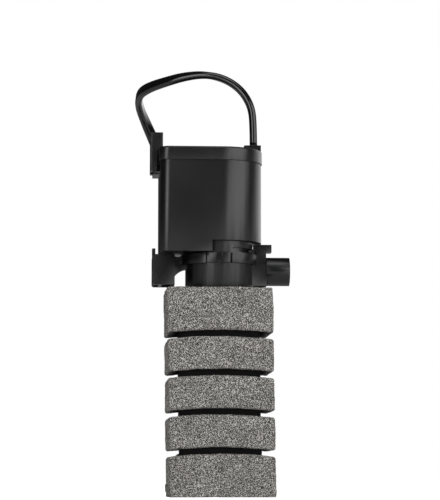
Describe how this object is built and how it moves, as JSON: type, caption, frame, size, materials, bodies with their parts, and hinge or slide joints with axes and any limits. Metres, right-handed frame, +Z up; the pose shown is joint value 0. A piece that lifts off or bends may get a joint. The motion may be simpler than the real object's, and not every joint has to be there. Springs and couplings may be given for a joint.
{
  "type": "internal power filter",
  "caption": "Submersible aquarium filter: D-shaped motor head with side outlet and cup holders on a ring-grooved foam block, with a flat cord.",
  "frame": {"origin": "middle of the sponge's base, on the rotor's axis", "axes": "+Z up along the rotor's axis, +X the way the outlet points, -X the glass wall"},
  "size_m": [0.0651, 0.197, 0.1821],
  "materials": {
    "foam": "open-cell filter foam",
    "black_abs": "satin moulded",
    "cord_pvc": "smooth extruded",
    "tie_wire": "flat ribbon",
    "plug_pvc": "fine texture",
    "nickel_pin": "nickel plated",
    "black_rubber": "matt",
    "core_steel": "stacked laminations",
    "bobbin_nylon": "natural nylon",
    "copper_wire": "enamelled wire",
    "fuse_case": "moulded case",
    "lead_pvc": "insulated lead",
    "potting": "cast resin",
    "ceramic": "polished ceramic",
    "impeller_pom": "moulded",
    "ferrite": "sintered ferrite"
  },
  "bodies": {
    "sponge": {"filter_sponge": "foam", "cord_hank": "cord_pvc", "hank_tie": "tie_wire", "plug_body": "plug_pvc", "plug_pins": "nickel_pin"},
    "pump_body": {"motor_housing": "black_abs", "housing_lid": "black_abs", "cord_gland": "black_rubber", "power_cord": "cord_pvc", "stator_core": "core_steel", "coil_bobbin": "bobbin_nylon", "coil_winding": "copper_wire", "thermal_fuse": "fuse_case", "coil_terminals": "nickel_pin", "lead_wires": "lead_pvc", "potting_resin": "potting", "well_bush": "black_rubber", "rotor_shaft": "ceramic", "chamber_gasket": "black_rubber"},
    "chamber": {"pump_chamber": "black_abs", "inlet_bush": "black_rubber", "strainer_tube": "black_abs", "strainer_cap": "black_abs"},
    "rotor": {"impeller": "impeller_pom", "rotor_magnet": "ferrite", "thrust_washers": "ceramic"},
    "upper_holder": {"upper_cup_holder": "black_abs"}
  },
  "joints": [
    {"name": "head_lift", "type": "slide", "parent": "sponge", "child": "pump_body", "axis": [0, 0, 1], "range_m": [0, 0.07]},
    {"name": "rotor_spin", "type": "hinge", "parent": "pump_body", "child": "rotor", "pos_m": [0, 0, 0.115], "axis": [0, 0, 1], "continuous": true},
    {"name": "chamber_twist", "type": "hinge", "parent": "pump_body", "child": "chamber", "pos_m": [0, 0, 0.099], "axis": [0, 0, 1], "range_deg": [-12, 0]},
    {"name": "holder_slide", "type": "slide", "parent": "pump_body", "child": "upper_holder", "axis": [0, 0, 1], "range_m": [0, 0.02]}
  ]
}
